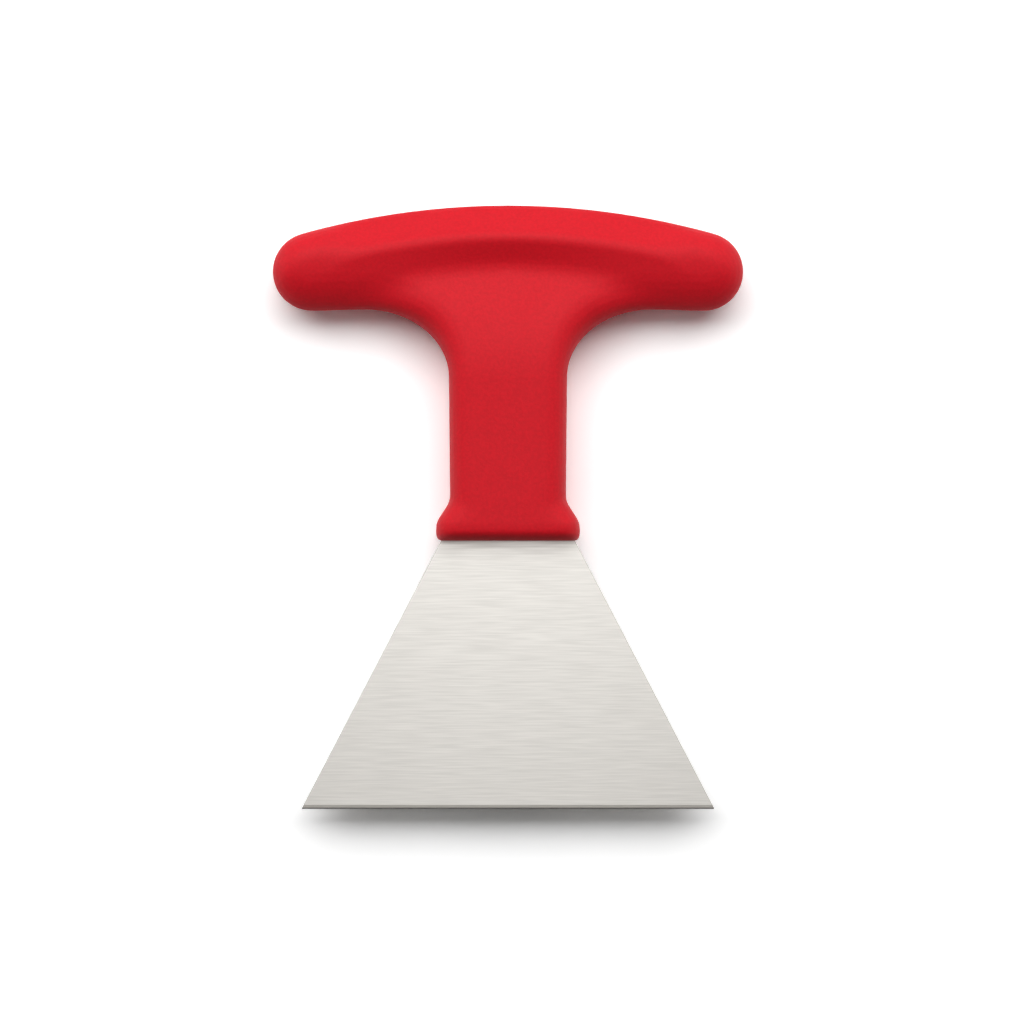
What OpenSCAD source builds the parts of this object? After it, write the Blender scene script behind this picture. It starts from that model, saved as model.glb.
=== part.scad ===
// Pan scraper: a tapered steel blade whose tang is moulded into a T-shaped plastic handle.
// It lies on its back. X runs along the palm bar, Y from the scraping edge to the bar, Z up.

/* [Blade] */
// Width of the scraping edge
edge_w = 110; // [80:1:150]
// Width of the blade where it enters the handle
neck_w = 35.7; // [30:0.1:37]
// Length of blade that shows, from the scraping edge to the handle
reach = 71.4; // [50:0.1:110]
// Thickness of the steel sheet
blade_t = 1.5; // [0.8:0.1:3]
// Length of the bevel ground on the upper face, at the scraping edge
bevel_len = 1; // [0.4:0.1:4]
// Thickness left at the very edge
edge_t = 0.3; // [0.1:0.05:0.6]

/* [Tang] */
// Width of the tang inside the stem
tang_w = 20; // [14:0.5:24]
// Length of steel inside the handle
tang_len = 52; // [36:1:62]
// Diameter of the keying holes that the plastic fills
key_d = 8; // [4:0.5:10]
// Distance between the keying holes
key_pitch = 15; // [12:0.5:17]
// Distance from the tang's round end to the first keying hole's centre
key_end = 11; // [8:0.5:14]
// Number of keying holes
key_count = 2; // [1:1:2]
// Room between the steel and the plastic moulded round it
mould_gap = 0.05; // [0.01:0.01:0.2]

/* [Palm bar] */
// Length of the handle, from the collar's foot to the crown of the bar
handle_len = 89.4; // [86:0.1:110]
// Width of the bar over its two round ends
bar_w = 125.4; // [112:0.1:150]
// Radius of the bar's crowned top, seen from the front
crown_r = 203; // [150:1:400]
// Radius of the bar's ends, seen from the front
bar_end_r = 10.5; // [9.5:0.1:12]
// Rise of the bar's underside from its ends in to the fillets
under_rise = 0.35; // [0:0.05:1]
// Distance from the crown to the ridge on each face
ridge_inset = 8.6; // [7:0.1:9]
// Angle at which the upper flank climbs from the parting line to the ridge
flank_angle = 40; // [30:1:50]
// Radius where the two upper flanks meet at the parting line
flank_r = 3; // [1.5:0.1:4]
// Softness of the ridge
ridge_soft = 2.2; // [1:0.1:4]
// Fall of the face below the ridge, in the middle of the bar
ridge_fall = 24; // [10:1:26]
// Fall of the face below the ridge, along the arms
arm_fall = 15; // [5:1:18]
// Width of the rounding along the underside of the arms
arm_round = 9.5; // [6:0.1:10]

/* [Stem] */
// Width of the stem at its shoulders
stem_w = 31.5; // [29:0.1:36]
// Width of the stem just above the collar
waist_w = 30.9; // [27:0.1:34]
// Thickness of the stem
stem_t = 22; // [18:0.1:28]
// Width of the rounding along the sides of the stem
stem_round = 8; // [4:0.1:10]
// Reach of the fillet between stem and arm, along the bar
fillet_w = 22.3; // [12:0.1:24]
// Reach of the fillet between stem and arm, along the stem
fillet_h = 18; // [10:0.1:22]
// Width of the rounding along the fillet
fillet_round = 10.5; // [6:0.1:11]
// Distance from the crown to where the stem's face begins to fall towards the finger hollow
shoulder_start = 56.8; // [48:0.1:62]
// Distance over which that fall sets in
shoulder_run = 20; // [16:0.1:26]
// Softness of its start
shoulder_soft = 10; // [4:0.1:12]
// Fall of the shoulder towards the finger hollow, in mm per mm
shoulder_fall = 0.31; // [0.15:0.01:0.4]
// Half width over which the shoulder falls straight
shoulder_half = 18; // [12:0.1:20]
// Softness of the finger hollow's floor
hollow_soft = 2; // [1:0.1:5]

/* [Collar] */
// Width of the collar
collar_w = 38.4; // [37.5:0.1:42]
// Height at which the stem starts to flare into the collar
collar_h = 11.8; // [8:0.1:16]
// Height of the collar's widest point
collar_widest = 3.6; // [3:0.1:6]
// Height of the collar's rounded lower corners, seen from the front
collar_corner = 2.2; // [1:0.1:2.8]
// Height of the rounding from the collar's foot to the faces
foot_round = 4.5; // [2:0.1:6]
// Plastic left beside the blade at the collar's foot
foot_margin = 0.1; // [0.05:0.05:0.4]

/* [Hidden] */
$fn = 96;

overall_len = reach + handle_len;
crown_y = overall_len - crown_r;
arm_x = bar_w / 2 - bar_end_r;
arm_y = crown_y + sqrt(pow(crown_r - bar_end_r, 2) - arm_x * arm_x);
under_y = arm_y - bar_end_r;
end_angle = atan2(arm_y - crown_y, arm_x);
fillet_x = stem_w / 2 + fillet_w;
fillet_y = under_y + under_rise - fillet_h;
ridge_r = crown_r - ridge_inset;
shoulder_y = overall_len - shoulder_start;
collar_y = reach + collar_h;
side_slope = (edge_w - neck_w) / 2 / reach;
tang_y = (edge_w - tang_w) / 2 / side_slope;
tang_end = reach + tang_len;
// The skin's spine runs below the finger hollow, and out to the centres of the bar's ends
spine_inset = 2 * ridge_inset;
spine_bend = 20;
spine_y = overall_len - spine_inset;
// The run over which the flank turns round, up to the bar's ends, and its reach past the ridge
flank_run = 16.3;
flank_turn = arm_x - flank_run;
flank_past = 0.4;
// Distance along the bar by which the fall below the ridge is that of the arms
arm_start = 40;
// How much faster the shoulder falls to its sides than up the handle
shoulder_aside = 1.5;
// Angles round the fillet at which the stem's rounding ends and the arms' rounding starts
stem_ends = 50;
arm_starts = 60;
// The steepest angle at which the fillet's lines are looked for
top_angle = 85;
// Roundness of an edge: 2 is an ellipse, more is squarer
round_arm = 2;
round_stem = 3;
round_foot = 3.5;
// Counts of the skin's grid
rim_steps = 7;
across_steps = 16;
ridge_steps = 9;
end_steps = 9;
arm_steps = 6;
fillet_steps = 11;
crotch_steps = 10;
stem_steps = 5;
flare_steps = 7;
foot_steps = 7;
// Crowding of the grid's lines below the ridge, the room kept at the spine, and the run for a slope
below_ridge = 1.2;
spine_room = 0.5;
slope_run = 0.05;

function mix(a, b, t) = a + (b - a) * t;
function ease(t) = let (u = min(1, max(0, t))) u * u * (3 - 2 * u);
function soft_min(a, b, k) = min(a, b) - pow(max(0, k - abs(a - b)), 2) / (4 * k);
function soft_max(a, b, k) = max(a, b) + pow(max(0, k - abs(a - b)), 2) / (4 * k);

// Height of the upper flank at distance d from the outline: a rounded rim, then a straight climb
function flank(d) =
    let (start = flank_r * (1 - sin(flank_angle)))
    d < start ? sqrt(max(0, 2 * flank_r * d - d * d))
              : flank_r * cos(flank_angle) + (d - start) * tan(flank_angle);
ridge_h = flank(ridge_inset);
// The same flank rounded to a quarter ellipse, as it is towards the bar's ends
function round_flank(d) = ridge_h * sqrt(1 - pow(1 - min(1, d / (ridge_inset + flank_past)), 2));
function upper_flank(x, d) = mix(flank(d), round_flank(d), ease((abs(x) - flank_turn) / flank_run));
// Face of the bar below the ridge
function lower_face(x, y) =
    let (below = ridge_r - norm([x, y - crown_y]))
    ridge_h - tan(mix(ridge_fall, arm_fall, ease(abs(x) / arm_start))) * below;
// Face of the stem, with its shoulder falling towards the finger hollow
function stem_face(x, y) =
    let (side = max(0, abs(x) - shoulder_half))
    let (away = sqrt(shoulder_aside * side * side + pow(max(0, y - shoulder_y), 2)))
    stem_t / 2 - shoulder_fall * soft_max(0, away - shoulder_run, shoulder_soft);
function face(x, y) = soft_max(lower_face(x, y), stem_face(x, y), hollow_soft);
// Half thickness at a point of the plan, at distance d from the upper outline, before the rims are rounded
function half_t(x, y, d) = soft_min(upper_flank(x, d), face(x, y), ridge_soft);

// Distance in from an edge, and share of the full height, at step s of 0 to 1 round its rim
function rim_in(w, n, s) = w * (1 - pow(cos(90 * s), 2 / n));
function rim_h(n, s) = pow(sin(90 * s), 2 / n);
// Distances from the lower edge to the spine, close together at the rim
function across(w, n, len) = [
    for (i = [0:across_steps])
        i <= rim_steps ? rim_in(w, n, i / rim_steps)
                       : mix(w, len, (i - rim_steps) / (across_steps - rim_steps))
];
// Distances from the crown to the spine, close together at the rim and at the ridge
function down(len) = [
    for (i = [0:across_steps])
        let (past = max(0, (i - ridge_steps) / (across_steps - ridge_steps)))
        i <= ridge_steps ? ridge_inset * (1 - cos(180 * i / ridge_steps)) / 2
                         : mix(ridge_inset, len, pow(past, below_ridge))
];
function rim_share(n, i) = i < rim_steps ? rim_h(n, i / rim_steps) : 1;

// A line of the skin from a point of the lower outline to its spine point
function lower_line(from, to, w, n, foot = 1) =
    let (len = norm(to - from), steps = across(w, n, len))
    [for (i = [0:across_steps])
        let (p = i == across_steps ? to : from + (to - from) * steps[i] / len)
        [p.x, p.y, foot * rim_share(n, i) * half_t(p.x, p.y, crown_r - norm([p.x, p.y - crown_y]))]];
// A line of the skin from the crown to its spine point
function upper_line(spine) =
    let (len = crown_r - norm([spine.x, spine.y - crown_y]), steps = down(len))
    let (out = [spine.x, spine.y - crown_y] / (crown_r - len))
    [for (i = [0:across_steps])
        let (p = i == across_steps ? spine : [0, crown_y] + out * (crown_r - steps[i]))
        [p.x, p.y, half_t(p.x, p.y, steps[i])]];
// A line of the skin from the round end of the bar to the end's centre, at angle a
function end_line(a) =
    let (up = ease((a + 90) / (end_angle + 90)))
    let (low = across(arm_round, round_arm, bar_end_r), high = down(bar_end_r))
    [for (i = [0:across_steps])
        let (d = mix(low[i], high[i], up))
        let (p = [arm_x, arm_y] + (bar_end_r - d) * [cos(a), sin(a)])
        let (s = min(1, d / arm_round))
        let (rim = pow(1 - pow(1 - s, round_arm), 1 / round_arm))
        [p.x, p.y, mix(rim * half_t(p.x, p.y, bar_end_r + ridge_inset), half_t(p.x, p.y, d), up)]];

// Where the normal of the fillet at angle a meets the middle of the handle
function normal_y(a) =
    fillet_y + fillet_h * sin(a) + (fillet_x - fillet_w * cos(a)) * fillet_w / fillet_h * tan(a);
// The angle whose normal meets the middle of the spine, found by halving
function corner_at(low = 0, high = top_angle, turns = 40) =
    let (a = (low + high) / 2)
    turns == 0 ? a : normal_y(a) > spine_y ? corner_at(low, a, turns - 1) : corner_at(a, high, turns - 1);
corner_angle = corner_at();
function fillet_point(a) = [fillet_x - fillet_w * cos(a), fillet_y + fillet_h * sin(a)];
// Distance from the crown to the spine
function inset_at(x) = mix(spine_inset, bar_end_r, ease((abs(x) - spine_bend) / (arm_x - spine_bend)));
// Where a line from a point along a direction meets the spine, found by halving
function on_spine(p, dir, low = 0, high = handle_len, turns = 40) =
    let (t = (low + high) / 2, q = p + dir * t)
    let (past = norm([q.x, q.y - crown_y]) > crown_r - inset_at(q.x))
    turns == 0 ? q : past ? on_spine(p, dir, low, t, turns - 1) : on_spine(p, dir, t, high, turns - 1);
function fillet_spine(a) =
    abs(a - corner_angle) < 0.001 ? [0, spine_y]
    : a < corner_angle ? [0, normal_y(a)]
    : on_spine(fillet_point(a), let (v = [-cos(a) / fillet_w, sin(a) / fillet_h]) v / norm(v));
function fillet_line(a) =
    let (t = ease(a / stem_ends))
    lower_line(fillet_point(a), fillet_spine(a),
               mix(mix(stem_round, fillet_round, t), arm_round, ease((a - arm_starts) / (90 - arm_starts))),
               mix(round_stem, round_arm, t));
function under_line(x) = under_y + under_rise * ease((arm_x - x) / (arm_x - fillet_x));
function arm_spine(x) =
    let (r = crown_r - inset_at(x))
    [x, crown_y + sqrt(r * r - x * x)];

// Half width of the handle at height y, from the foot to the fillet
function half_w(y) =
    let (foot_w = neck_w / 2 + foot_margin)
    y < reach + collar_corner
        ? mix(foot_w, collar_w / 2, sqrt(1 - pow(1 - max(0, y - reach) / collar_corner, 2)))
    : y < collar_y
        ? mix(collar_w, waist_w, ease((y - reach - collar_widest) / (collar_h - collar_widest))) / 2
    : mix(waist_w, stem_w, (y - collar_y) / (fillet_y - collar_y)) / 2;
function stem_line(y, foot = 1) =
    let (slope = y < reach + collar_widest ? 0 : (half_w(y) - half_w(y + slope_run)) / slope_run)
    let (w = stem_round * sqrt(1 + slope * slope))
    lower_line([half_w(y), y], [0, y], min(w, half_w(y) - spine_room), round_stem, foot);

end_grid = concat(
    [for (i = [0:end_steps]) end_line(mix(-90, 0, i / end_steps))],
    [for (i = [1:end_steps]) end_line(mix(0, end_angle, i / end_steps))]);
arm_grid = [for (i = [0:arm_steps])
    let (x = mix(arm_x, fillet_x, i / arm_steps))
    lower_line([x, under_line(x)], arm_spine(x), arm_round, round_arm)];
fillet_grid = [for (i = [0:fillet_steps]) fillet_line(mix(90, corner_angle, i / fillet_steps))];
crotch_grid = [for (i = [0:crotch_steps]) fillet_line(mix(corner_angle, 0, i / crotch_steps))];
stem_grid = [for (i = [0:stem_steps]) stem_line(mix(fillet_y, collar_y, i / stem_steps))];
flare_grid = [for (i = [0:flare_steps]) stem_line(mix(collar_y, reach + foot_round, i / flare_steps))];
foot_grid = [for (i = [0:foot_steps])
    let (s = 1 - i / foot_steps)
    stem_line(reach + rim_in(foot_round, round_foot, s), rim_h(round_foot, s))];
crown_grid = concat(
    [for (i = [0:arm_steps]) upper_line(arm_spine(mix(arm_x, fillet_x, i / arm_steps)))],
    [for (i = [1:fillet_steps]) upper_line(fillet_spine(mix(90, corner_angle, i / fillet_steps)))]);
lower_grid = concat(arm_grid, tail(fillet_grid), tail(crotch_grid), tail(stem_grid), tail(flare_grid),
                    tail(foot_grid));
function tail(list) = [for (i = [1:len(list) - 1]) list[i]];

// The four mirrored copies of a grid, and the triangles of each, split along their shorter diagonal,
// but along the other where that one could lie in the middle plane, as a flap of no thickness
function copies(grid) = [
    for (sx = [1, -1], sz = [1, -1]) for (row = grid) for (p = row) [sx * p.x, p.y, sz * p.z]
];
function triangles(grid, from, flip) =
    let (rows = len(grid), cols = len(grid[0]))
    [for (turn = [0:3], i = [0:rows - 2], j = [0:cols - 2])
        let (a = from + turn * rows * cols + i * cols + j, b = a + cols)
        let (solid = grid[i + 1][j + 1].z > 0)
        let (short = solid && norm(grid[i][j] - grid[i + 1][j + 1]) < norm(grid[i][j + 1] - grid[i + 1][j]))
        let (pair = short ? [[a, a + 1, b + 1], [a, b + 1, b]] : [[a, a + 1, b], [a + 1, b + 1, b]])
        let (out = (turn == 0 || turn == 3) != flip)
        each out ? pair : [for (t = pair) [t[2], t[1], t[0]]]];

module placed() {
    translate([0, -overall_len / 2, stem_t / 2]) children();
}

// Outline of the blade and its tang, drawn larger by grow all round
module blade_plan(grow = 0) {
    side = grow / cos(atan(side_slope));
    difference() {
        union() {
            polygon([
                [-edge_w / 2 - side, 0], [edge_w / 2 + side, 0],
                [tang_w / 2 + grow, tang_y], [tang_w / 2 + grow, tang_end - tang_w / 2],
                [-tang_w / 2 - grow, tang_end - tang_w / 2], [-tang_w / 2 - grow, tang_y]
            ]);
            translate([0, tang_end - tang_w / 2]) circle(d = tang_w + 2 * grow);
        }
        for (i = [0:key_count - 1])
            translate([0, tang_end - key_end - i * key_pitch]) circle(d = key_d - 2 * grow);
    }
}

// Brushed sheet steel, bevelled on its upper face at the scraping edge
module blade() {
    color("gainsboro") placed() difference() {
        linear_extrude(height = blade_t, center = true) blade_plan();
        translate([0, 0, edge_t - blade_t / 2])
            rotate([atan((blade_t - edge_t) / bevel_len), 0, 0])
                translate([-edge_w, -blade_t, 0]) cube([2 * edge_w, bevel_len + 4 * blade_t, 2 * blade_t]);
    }
}

// One moulding, whose skin is a grid of lines from the outline in to the ridge and the stem's middle
module handle_skin() {
    grids = [end_grid, crown_grid, lower_grid];
    sizes = [for (g = grids) 4 * len(g) * len(g[0])];
    polyhedron(
        points = [for (g = grids) each copies(g)],
        faces = concat(
            triangles(end_grid, 0, false),
            triangles(crown_grid, sizes[0], false),
            triangles(lower_grid, sizes[0] + sizes[1], true)),
        convexity = 6);
}

module handle() {
    color([0.78, 0.07, 0.12]) placed() difference() {
        handle_skin();
        linear_extrude(height = blade_t + 2 * mould_gap, center = true) blade_plan(mould_gap);
    }
}

blade();
handle();
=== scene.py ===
# Pan scraper: a brushed steel blade moulded into a T-shaped plastic handle.
# The operators dress the CAD frame's two nodes, and lay the tool on a white studio floor.
import math

import bmesh
import bpy
from bpy.props import FloatProperty, FloatVectorProperty, IntProperty, PointerProperty
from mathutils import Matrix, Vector


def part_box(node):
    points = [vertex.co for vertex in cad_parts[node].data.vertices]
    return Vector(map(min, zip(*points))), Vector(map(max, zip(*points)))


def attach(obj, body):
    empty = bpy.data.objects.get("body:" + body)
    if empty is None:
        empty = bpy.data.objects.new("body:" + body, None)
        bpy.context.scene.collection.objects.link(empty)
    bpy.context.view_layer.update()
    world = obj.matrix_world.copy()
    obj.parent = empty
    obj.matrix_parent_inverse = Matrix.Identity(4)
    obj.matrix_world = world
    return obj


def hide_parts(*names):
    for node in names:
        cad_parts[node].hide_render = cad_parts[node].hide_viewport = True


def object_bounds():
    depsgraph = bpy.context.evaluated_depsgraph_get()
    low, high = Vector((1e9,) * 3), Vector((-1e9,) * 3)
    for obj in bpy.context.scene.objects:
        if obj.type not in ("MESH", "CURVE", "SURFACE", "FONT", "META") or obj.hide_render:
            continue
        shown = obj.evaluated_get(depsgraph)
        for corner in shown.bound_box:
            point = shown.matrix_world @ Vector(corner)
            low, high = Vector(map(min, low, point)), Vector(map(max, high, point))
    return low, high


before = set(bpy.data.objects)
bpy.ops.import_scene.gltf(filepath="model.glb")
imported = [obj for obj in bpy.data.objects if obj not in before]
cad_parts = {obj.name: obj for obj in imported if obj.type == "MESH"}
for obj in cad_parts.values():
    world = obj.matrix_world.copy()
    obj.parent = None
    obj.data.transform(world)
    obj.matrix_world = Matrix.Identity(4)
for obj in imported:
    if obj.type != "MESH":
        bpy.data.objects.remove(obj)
cad_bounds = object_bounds()

bl_info = {
    "name": "Pan Scraper",
    "version": (1, 0, 0),
    "blender": (4, 5, 0),
    "location": "View3D > Sidebar > Pan Scraper",
    "description": "Dresses a pan scraper's blade and handle, and sets up its studio",
    "category": "Object",
}

# A millimetre, in metres
MM = 0.001
# Corners of the CAD mesh's loose triangles that lie nearer than this are one
MERGE = 1e-6
# Length of the handle's foot that is cut off to part its skin from the tang's pocket
FOOT_CUT = 0.1 * MM
# Faces that meet at less than this angle, in degrees, lie level and are one
LEVEL_ANGLE = 1
# Faces that meet at more than this angle, in degrees, leave a sharp edge
SHARP_ANGLE = 30
# Depth of the plastic's grain, height of its parting line, and width of a patch of its gloss
GRAIN_DEPTH = 0.08 * MM
PARTING_HEIGHT = 0.06 * MM
GLOSS_PATCH = 18 * MM
# Depth of the steel's brushed lines
BRUSH_DEPTH = 0.009 * MM
# Distances from the scraping edge between which the painted shade of the dark line on the steel
# ends
EDGE_SHADE = (0.2 * MM, 0.5 * MM)
# Half width of the floor, and the gap that keeps it from touching the tool
FLOOR_REACH = 6
FLOOR_GAP = 0.02 * MM
# Share of its light that the seen paper gives back: more than all of it, to show as white
SEEN_PAPER = 1.28
# Distances from the tool between which the floor turns from lit paper to plain white
LIT_PAPER = (0.2, 0.45)
# Heights in degrees above the horizon between which the walls turn into the ceiling
WALL_TOP = (10, 35)
# Width of the camera's sensor, in its own unit of mm
SENSOR = 36


def srgb(code):
    """An sRGB hex colour as linear red, green and blue."""
    channels = [int(code[i:i + 2], 16) / 255 for i in (1, 3, 5)]
    return tuple(c / 12.92 if c <= 0.04045 else ((c + 0.055) / 1.055) ** 2.4 for c in channels)


class ScraperHandleSettings(bpy.types.PropertyGroup):
    skin_cell: FloatProperty(
        name="Skin cell", description="Size of the squares that the handle's skin is made of",
        default=0.45 * MM, min=0.3 * MM, max=2 * MM, unit="LENGTH", precision=5)
    skin_turns: IntProperty(
        name="Skin smoothing", description="How often the skin is smoothed",
        default=4, min=0, max=30)
    colour: FloatVectorProperty(
        name="Plastic", description="Colour of the moulded plastic",
        default=srgb("#C60519"), size=3, min=0, max=1, subtype="COLOR")
    grain: FloatProperty(
        name="Grain", description="Width of a pit of the mould's spark-eroded grain",
        default=0.8 * MM, min=0.05 * MM, max=2 * MM, unit="LENGTH", precision=5)
    parting_line: FloatProperty(
        name="Parting line", description="Width of the line where the mould's halves met",
        default=0.35 * MM, min=0.1 * MM, max=1 * MM, unit="LENGTH", precision=5)


class ScraperBladeSettings(bpy.types.PropertyGroup):
    eased_edge: FloatProperty(
        name="Eased edge", description="Width by which the stamped sheet's edges are broken",
        default=0.12 * MM, min=0, max=0.3 * MM, unit="LENGTH", precision=5)
    flat: FloatProperty(
        name="Flat", description="How level a face is, from 0 to 1, to be brushed and not ground",
        default=0.95, min=0, max=1)
    colour: FloatVectorProperty(
        name="Steel", description="Colour of the steel",
        default=srgb("#C4C1BC"), size=3, min=0, max=1, subtype="COLOR")
    line_length: FloatProperty(
        name="Brush length", description="Length of a brushed line",
        default=12 * MM, min=1 * MM, max=60 * MM, unit="LENGTH")
    line_spacing: FloatProperty(
        name="Brush spacing", description="Distance between brushed lines",
        default=0.45 * MM, min=0.1 * MM, max=3 * MM, unit="LENGTH", precision=5)


class ScraperStageSettings(bpy.types.PropertyGroup):
    camera_height: FloatProperty(
        name="Camera height", description="Height of the camera above the tool",
        default=1.4, min=0.4, max=10, unit="LENGTH")
    view_width: FloatProperty(
        name="View width", description="Width that the camera sees at the tool",
        default=272.7 * MM, min=0.1, max=2, unit="LENGTH")
    view_centre: FloatVectorProperty(
        name="View centre", description="Point of the tool under the camera",
        default=(1.07 * MM, -1.3 * MM), size=2, unit="LENGTH", precision=5)
    lamp_tilt: FloatProperty(
        name="Lamp tilt", description="Angle of the lamp from straight above, towards the palm bar",
        default=math.radians(36), min=0, max=math.radians(85), unit="ROTATION")
    lamp_side: FloatProperty(
        name="Lamp side", description="How far the lamp hangs to the tool's right",
        default=-0.03, min=-2, max=2, unit="LENGTH")
    lamp_distance: FloatProperty(
        name="Lamp distance", description="Distance from the tool to the lamp",
        default=0.95, min=0.3, max=5, unit="LENGTH")
    lamp_size: FloatVectorProperty(
        name="Lamp size", description="Width and height of the lamp's face",
        default=(1.7, 0.78), size=2, unit="LENGTH")
    lamp_power: FloatProperty(
        name="Lamp power", description="Power of the lamp, in watts",
        default=15.1, min=0, max=200)
    fill_height: FloatProperty(
        name="Fill height", description="Height of the fill lamp above the tool",
        default=1.5, min=0.4, max=10, unit="LENGTH")
    fill_back: FloatProperty(
        name="Fill back", description="How far the fill lamp hangs towards the palm bar",
        default=0.15, min=-2, max=2, unit="LENGTH")
    fill_size: FloatProperty(
        name="Fill size", description="Width of the fill lamp's square face",
        default=0.35, min=0.05, max=2, unit="LENGTH")
    fill_power: FloatProperty(
        name="Fill power", description="Power of the fill lamp, in watts",
        default=1.12, min=0, max=200)
    side_place: FloatVectorProperty(
        name="Side lamps", description="Where the right-hand one of the two side lamps hangs",
        default=(1.1, 0.35, 0.22), unit="LENGTH")
    side_size: FloatVectorProperty(
        name="Side lamp size", description="Width and height of the side lamps' faces",
        default=(0.5, 0.25), size=2, unit="LENGTH")
    side_power: FloatProperty(
        name="Side power", description="Power of each side lamp, in watts",
        default=2.4, min=0, max=200)
    wall: FloatProperty(
        name="Walls", description="Brightness with which the studio's walls light the tool",
        default=0.26, min=0, max=2)
    sky: FloatProperty(
        name="Ceiling", description="Brightness with which the studio's ceiling lights the tool",
        default=0.03, min=0, max=2)
    seen_sky: FloatProperty(
        name="Seen ceiling", description="Brightness of the ceiling, seen or reflected",
        default=0.4, min=0, max=2)


def add(tree, kind, settings=None, links=None):
    """A new node of a kind, with its settings and socket values, and links from other sockets."""
    node = tree.nodes.new(kind)
    for name, value in (settings or {}).items():
        if isinstance(name, str) and hasattr(node, name):
            setattr(node, name, value)
        else:
            node.inputs[name].default_value = value
    for name, socket in (links or {}).items():
        tree.links.new(socket, node.inputs[name])
    return node


def ramp(tree, value, start, end, low=0, high=1, kind="LINEAR"):
    """A value's way from start to end, drawn out to run from low to high."""
    return add(tree, "ShaderNodeMapRange",
               {"interpolation_type": kind, "From Min": start, "From Max": end,
                "To Min": low, "To Max": high},
               {"Value": value}).outputs["Result"]


def blend(tree, factor, first, second):
    """One colour where a factor is 0, and another where it is 1."""
    return add(tree, "ShaderNodeMix",
               {"data_type": "RGBA", "A": (*first, 1), "B": (*second, 1)},
               {"Factor": factor}).outputs["Result"]


def shaded(colour, share):
    """A colour at a share of its brightness."""
    return tuple(share * c for c in colour)


def new_material(name):
    """A material and its node tree, which starts out empty."""
    material = bpy.data.materials.new(name)
    material.use_nodes = True
    material.node_tree.nodes.clear()
    return material, material.node_tree


def moulded_polypropylene(settings, middle_z):
    """Polypropylene moulded in a spark-eroded tool: an even satin red with a fine pitted grain."""
    material, tree = new_material("moulded polypropylene")
    place = add(tree, "ShaderNodeTexCoord").outputs["Object"]

    # Pits of the grain, drawn coarse enough to show: the real ones are a third as wide
    grain = add(tree, "ShaderNodeTexNoise",
                {"Scale": 1 / settings.grain, "Detail": 2, "Roughness": 0.6}, {"Vector": place})
    pitted = add(tree, "ShaderNodeBump", {"Strength": 0.5, "Distance": GRAIN_DEPTH},
                 {"Height": grain.outputs["Fac"]})

    # A low ridge along the parting line, which fades over its half width
    height = add(tree, "ShaderNodeSeparateXYZ", None, {"Vector": place}).outputs["Z"]
    above = add(tree, "ShaderNodeMath", {"operation": "SUBTRACT", 1: middle_z}, {0: height})
    away = add(tree, "ShaderNodeMath", {"operation": "ABSOLUTE"}, {0: above.outputs[0]})
    ridge = ramp(tree, away.outputs[0], 0, settings.parting_line / 2, 1, 0, "SMOOTHSTEP")
    lined = add(tree, "ShaderNodeBump", {"Strength": 1, "Distance": PARTING_HEIGHT},
                {"Height": ridge, "Normal": pitted.outputs["Normal"]})

    # Slow unevenness of the gloss, as flow in the mould leaves
    flow = add(tree, "ShaderNodeTexNoise", {"Scale": 1 / GLOSS_PATCH, "Detail": 2},
               {"Vector": place})
    gloss = ramp(tree, flow.outputs["Fac"], 0, 1, 0.62, 0.7)

    # The floors of the pits get painted shade: their colour is darkened a little
    pit_shade = ramp(tree, grain.outputs["Fac"], 0.35, 0.65)
    # Painted shade: the pits' floors take the darker copy of the plastic's colour
    tone = blend(tree, pit_shade, shaded(settings.colour, 0.88), settings.colour)
    surface = add(tree, "ShaderNodeBsdfPrincipled", {"IOR": 1.49, "Specular IOR Level": 0.25},
                  {"Base Color": tone, "Roughness": gloss, "Normal": lined.outputs["Normal"]})
    add(tree, "ShaderNodeOutputMaterial", None, {"Surface": surface.outputs["BSDF"]})
    return material


def brushed_stainless(settings):
    """Stainless sheet brushed along its edge: fine lines that spread a lamp's glare across them."""
    material, tree = new_material("brushed stainless steel")
    place = add(tree, "ShaderNodeTexCoord").outputs["Object"]

    def lines(length, spacing):
        """Noise drawn out into lines along the scraping edge."""
        drawn = add(tree, "ShaderNodeMapping", {"Scale": (1 / length, 1 / spacing, 1 / spacing)},
                    {"Vector": place})
        return add(tree, "ShaderNodeTexNoise", {"Scale": 1, "Detail": 1, "Roughness": 0.6},
                   {"Vector": drawn.outputs["Vector"]}).outputs["Fac"]

    # Strokes of the belt, and finer hairs between them, drawn coarse enough to show
    strokes = lines(settings.line_length, settings.line_spacing)
    hairs = lines(settings.line_length / 2, settings.line_spacing / 2)
    both = add(tree, "ShaderNodeMath", {"operation": "ADD"}, {0: strokes, 1: hairs})
    brushed = add(tree, "ShaderNodeBump", {"Strength": 0.2, "Distance": BRUSH_DEPTH},
                  {"Height": both.outputs[0]})

    # A deep stroke is duller and darker than the steel between the strokes
    sheen = ramp(tree, strokes, 0.3, 0.7, 0.33, 0.28)
    depth = ramp(tree, strokes, 0.3, 0.7)
    tone = blend(tree, depth, shaded(settings.colour, 0.87), settings.colour)
    along = add(tree, "ShaderNodeTangent", {"direction_type": "UV_MAP", "uv_map": "sheet"})
    surface = add(tree, "ShaderNodeBsdfPrincipled", {"Metallic": 1, "Anisotropic": 0.7},
                  {"Base Color": tone, "Roughness": sheen,
                   "Normal": brushed.outputs["Normal"],
                   "Tangent": along.outputs["Tangent"]})
    add(tree, "ShaderNodeOutputMaterial", None, {"Surface": surface.outputs["BSDF"]})
    return material


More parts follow.
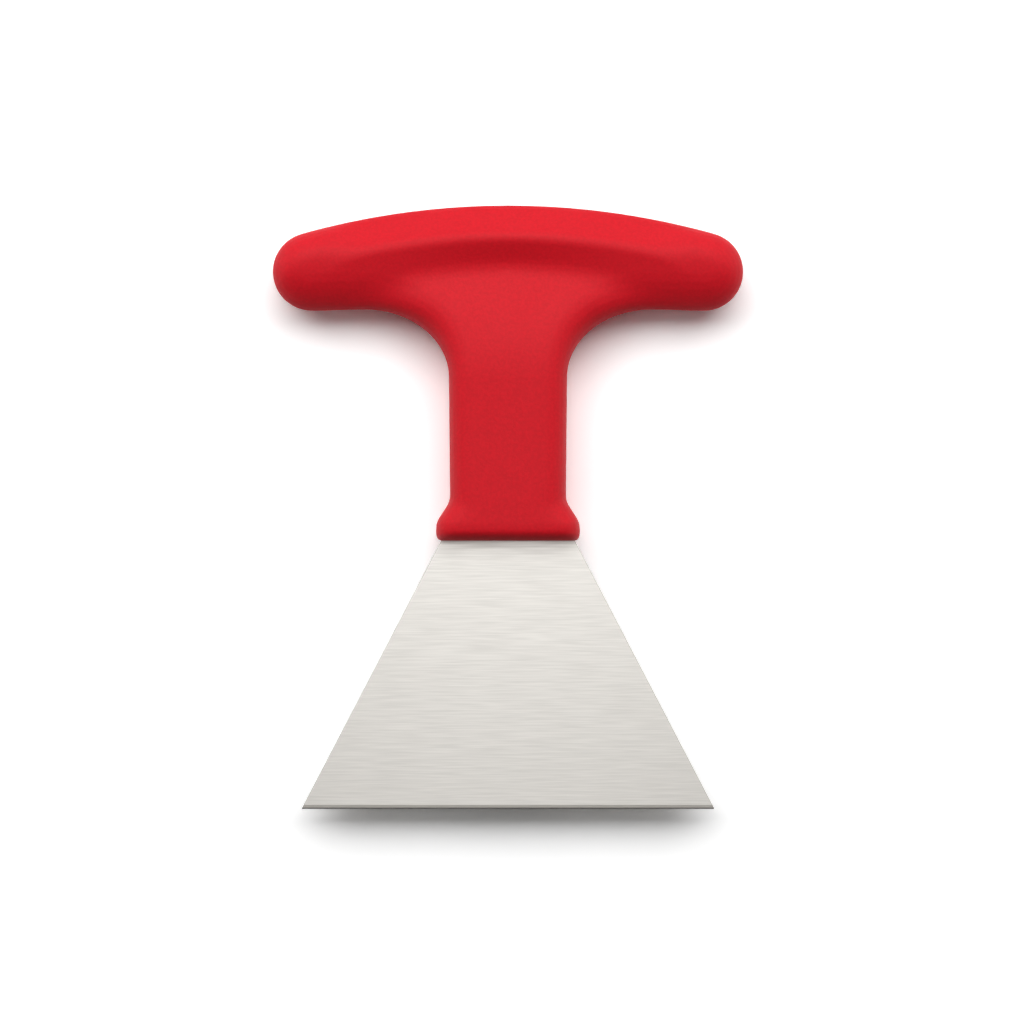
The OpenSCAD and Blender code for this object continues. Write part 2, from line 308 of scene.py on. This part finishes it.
def ground_steel(edge_y):
    """Steel where the sheet was cut and ground: bare and dull, with a dark line of painted shade at
    the scraping edge.
    """
    material, tree = new_material("ground steel edge")
    place = add(tree, "ShaderNodeTexCoord").outputs["Object"]
    across = add(tree, "ShaderNodeSeparateXYZ", None, {"Vector": place}).outputs["Y"]
    # Painted shade: the ground faces nearest the scraping edge take a dark colour
    start, end = (edge_y + distance for distance in EDGE_SHADE)
    unshaded = ramp(tree, across, start, end, kind="SMOOTHSTEP")
    tone = blend(tree, unshaded, srgb("#403E3B"), srgb("#A8A49E"))
    surface = add(tree, "ShaderNodeBsdfPrincipled", {"Metallic": 1, "Roughness": 0.5},
                  {"Base Color": tone})
    add(tree, "ShaderNodeOutputMaterial", None, {"Surface": surface.outputs["BSDF"]})
    return material


def seen_rays(tree):
    """1 for the rays that show a thing, straight or in a reflection, and 0 for those that light."""
    rays = add(tree, "ShaderNodeLightPath").outputs
    direct = add(tree, "ShaderNodeMath", {"operation": "MAXIMUM"},
                 {0: rays["Is Camera Ray"], 1: rays["Is Glossy Ray"]})
    return add(tree, "ShaderNodeMath", {"operation": "MAXIMUM"},
               {0: direct.outputs[0], 1: rays["Is Transmission Ray"]}).outputs[0]


def white_sweep():
    """Matt white studio paper: it takes the tool's shadow, and shows as white around it."""
    material, tree = new_material("matt white paper")
    seen = seen_rays(tree)
    tone = blend(tree, seen, srgb("#E6E6E6"), (SEEN_PAPER, SEEN_PAPER, SEEN_PAPER))
    paper = add(tree, "ShaderNodeBsdfDiffuse", None, {"Color": tone})

    # Beyond the lamps' light the paper shows as plain white, like the walls that it runs up to
    place = add(tree, "ShaderNodeTexCoord").outputs["Object"]
    away = add(tree, "ShaderNodeVectorMath", {"operation": "LENGTH"}, {"Vector": place})
    far = ramp(tree, away.outputs["Value"], *LIT_PAPER, kind="SMOOTHSTEP")
    plain = add(tree, "ShaderNodeMath", {"operation": "MULTIPLY"}, {0: far, 1: seen})
    white = add(tree, "ShaderNodeEmission")
    shown = add(tree, "ShaderNodeMixShader", None,
                {"Fac": plain.outputs[0], 1: paper.outputs["BSDF"], 2: white.outputs["Emission"]})
    add(tree, "ShaderNodeOutputMaterial", None, {"Surface": shown.outputs["Shader"]})
    return material


def merged_copy(node):
    """A copy of a CAD node's mesh, with its loose triangles joined."""
    shape = bmesh.new()
    shape.from_mesh(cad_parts[node].data)
    bmesh.ops.remove_doubles(shape, verts=shape.verts, dist=MERGE)
    return shape


def in_scene(name, data):
    """An object in the scene that shows a mesh, a lamp or a camera."""
    shown = bpy.data.objects.new(name, data)
    bpy.context.scene.collection.objects.link(shown)
    return shown


def new_object(name, shape, material):
    """An object in the scene, made from a shape in one material."""
    mesh = bpy.data.meshes.new(name)
    shape.to_mesh(mesh)
    shape.free()
    mesh.materials.append(material)
    return in_scene(name, mesh)


def new_piece(name, shape, material, node):
    """A piece made from a shape, which stands for a CAD node and moves with the tool."""
    piece = new_object(name, shape, material)
    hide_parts(node)
    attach(piece, "root")
    return piece


def apply_modifiers(piece):
    """The piece's mesh becomes what its modifiers make of it."""
    made = piece.evaluated_get(bpy.context.evaluated_depsgraph_get())
    finished = bpy.data.meshes.new_from_object(made)
    piece.modifiers.clear()
    piece.data = finished


def island(start):
    """The faces that hang together with a face."""
    found = {start}
    waiting = [start]
    while waiting:
        face = waiting.pop()
        beside = {other for edge in face.edges for other in edge.link_faces} - found
        found |= beside
        waiting.extend(beside)
    return found


def lay_floor(low_z):
    """White paper all round, just below the tool."""
    shape = bmesh.new()
    bmesh.ops.create_grid(shape, x_segments=1, y_segments=1, size=FLOOR_REACH)
    floor = new_object("floor", shape, white_sweep())
    floor.location.z = low_z - FLOOR_GAP


def hang_lamp(name, place, size, power):
    """A soft lamp at a place, turned towards the tool."""
    lamp = bpy.data.lights.new(name, "AREA")
    lamp.shape = "RECTANGLE"
    lamp.size, lamp.size_y = size
    lamp.energy = power
    hung = in_scene(name, lamp)
    hung.location = place
    hung.rotation_euler = (-place).to_track_quat("-Z", "Y").to_euler()
    hung.visible_camera = False


def studio_world(settings):
    """White walls all round, under a dimmer ceiling."""
    world = bpy.data.worlds.new("studio")
    world.use_nodes = True
    tree = world.node_tree
    tree.nodes.clear()
    towards = add(tree, "ShaderNodeTexCoord").outputs["Generated"]
    height = add(tree, "ShaderNodeSeparateXYZ", None, {"Vector": towards}).outputs["Z"]
    seen = seen_rays(tree)
    wall = add(tree, "ShaderNodeMix", {"data_type": "FLOAT", "A": settings.wall, "B": 1},
               {"Factor": seen})
    ceiling = add(tree, "ShaderNodeMix",
                  {"data_type": "FLOAT", "A": settings.sky, "B": settings.seen_sky},
                  {"Factor": seen})
    start, end = (math.sin(math.radians(angle)) for angle in WALL_TOP)
    level = add(tree, "ShaderNodeMapRange",
                {"interpolation_type": "SMOOTHSTEP", "From Min": start, "From Max": end},
                {"Value": height,
                 "To Min": wall.outputs["Result"],
                 "To Max": ceiling.outputs["Result"]})
    light = add(tree, "ShaderNodeBackground", {"Color": (1, 1, 1, 1)},
                {"Strength": level.outputs["Result"]})
    add(tree, "ShaderNodeOutputWorld", None, {"Surface": light.outputs["Background"]})
    return world


def overhead_camera(settings, middle_z):
    """A camera straight above the tool, which sees the view's width half way up it."""
    camera = bpy.data.cameras.new("camera")
    camera.sensor_width = SENSOR
    camera.lens = camera.sensor_width * settings.camera_height / settings.view_width
    camera.clip_end = 100
    held = in_scene("camera", camera)
    held.location = (*settings.view_centre, middle_z + settings.camera_height)
    return held


class SCRAPER_OT_handle(bpy.types.Operator):
    """Make the handle's skin: one smooth moulding, closed round the steel"""
    bl_idname = "scraper.handle"
    bl_label = "Handle"

    def execute(self, context):
        settings = context.scene.scraper_handle
        low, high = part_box("handle")
        shape = merged_copy("handle")

        # With the foot's tip off, the outer skin no longer hangs together with the tang's pocket
        everything = shape.verts[:] + shape.edges[:] + shape.faces[:]
        bmesh.ops.bisect_plane(shape, geom=everything, dist=MERGE,
                               plane_co=(0, low[1] + FOOT_CUT, 0), plane_no=(0, 1, 0),
                               clear_inner=True)
        widest = max(shape.verts, key=lambda v: v.co.x)
        skin = island(widest.link_faces[0])
        pocket = [face for face in shape.faces if face not in skin]
        bmesh.ops.delete(shape, geom=pocket, context="FACES")
        bmesh.ops.holes_fill(shape, edges=shape.edges[:], sides=0)

        material = moulded_polypropylene(settings, (low[2] + high[2]) / 2)
        piece = new_piece("handle_skin", shape, material, "handle")
        cells = piece.modifiers.new("cells", "REMESH")
        cells.mode = "VOXEL"
        cells.voxel_size = settings.skin_cell
        smooth = piece.modifiers.new("smooth", "SMOOTH")
        smooth.iterations = settings.skin_turns
        smooth.factor = 0.5
        apply_modifiers(piece)
        piece.data.polygons.foreach_set("use_smooth", [True] * len(piece.data.polygons))
        return {"FINISHED"}


class SCRAPER_OT_blade(bpy.types.Operator):
    """Make the blade: brushed sheet with its stamped edges broken"""
    bl_idname = "scraper.blade"
    bl_label = "Blade"

    def execute(self, context):
        settings = context.scene.scraper_blade
        shape = merged_copy("blade")
        bmesh.ops.dissolve_limit(shape, angle_limit=math.radians(LEVEL_ANGLE),
                                 verts=shape.verts, edges=shape.edges)
        sharp = [edge for edge in shape.edges
                 if edge.calc_face_angle(0) > math.radians(SHARP_ANGLE)]
        bmesh.ops.bevel(shape, geom=sharp, offset=settings.eased_edge, offset_type="OFFSET",
                        affect="EDGES", segments=2, profile=0.5, material=-1, clamp_overlap=True)

        # Level faces are brushed and the others ground. The map's U runs across the brushed lines
        sheet = shape.loops.layers.uv.new("sheet")
        for face in shape.faces:
            face.material_index = int(abs(face.normal.z) < settings.flat)
            for corner in face.loops:
                corner[sheet].uv = corner.vert.co.yx
        piece = new_piece("blade_sheet", shape, brushed_stainless(settings), "blade")
        piece.data.materials.append(ground_steel(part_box("blade")[0][1]))
        return {"FINISHED"}


class SCRAPER_OT_stage(bpy.types.Operator):
    """Lay the tool on a white floor between soft lamps, and set the camera above it"""
    bl_idname = "scraper.stage"
    bl_label = "Stage"

    def execute(self, context):
        settings = context.scene.scraper_stage
        low, high = cad_bounds
        lay_floor(low[2])

        tilt = settings.lamp_tilt
        place = settings.lamp_distance * Vector((0, math.sin(tilt), math.cos(tilt)))
        place.x = settings.lamp_side
        hang_lamp("softbox", place, settings.lamp_size, settings.lamp_power)

        above = Vector((0, settings.fill_back, settings.fill_height))
        fill_face = (settings.fill_size, settings.fill_size)
        hang_lamp("fill", above, fill_face, settings.fill_power)

        right = Vector(settings.side_place)
        left = right * Vector((-1, 1, 1))
        hang_lamp("lamp_right", right, settings.side_size, settings.side_power)
        hang_lamp("lamp_left", left, settings.side_size, settings.side_power)

        scene = context.scene
        scene.world = studio_world(settings)
        scene.camera = overhead_camera(settings, (low[2] + high[2]) / 2)
        scene.view_settings.view_transform = "Standard"
        return {"FINISHED"}


class SCRAPER_PT_panel(bpy.types.Panel):
    """The scraper's pieces and stage"""
    bl_idname = "SCRAPER_PT_panel"
    bl_label = "Pan Scraper"
    bl_space_type = "VIEW_3D"
    bl_region_type = "UI"
    bl_category = "Pan Scraper"

    def draw(self, context):
        for operator, kind, settings in PARTS:
            box = self.layout.box()
            box.operator(operator.bl_idname)
            group = getattr(context.scene, settings)
            for name in kind.__annotations__:
                box.prop(group, name)


# Each operator, the kind of its settings, and their name in the scene
PARTS = (
    (SCRAPER_OT_handle, ScraperHandleSettings, "scraper_handle"),
    (SCRAPER_OT_blade, ScraperBladeSettings, "scraper_blade"),
    (SCRAPER_OT_stage, ScraperStageSettings, "scraper_stage"),
)


def register():
    for operator, kind, settings in PARTS:
        bpy.utils.register_class(kind)
        bpy.utils.register_class(operator)
        setattr(bpy.types.Scene, settings, PointerProperty(type=kind))
    bpy.utils.register_class(SCRAPER_PT_panel)


def unregister():
    bpy.utils.unregister_class(SCRAPER_PT_panel)
    for operator, kind, settings in reversed(PARTS):
        delattr(bpy.types.Scene, settings)
        bpy.utils.unregister_class(operator)
        bpy.utils.unregister_class(kind)


def main():
    register()
    bpy.ops.scraper.handle()
    bpy.ops.scraper.blade()
    bpy.ops.scraper.stage()


if __name__ == "__main__":
    main()
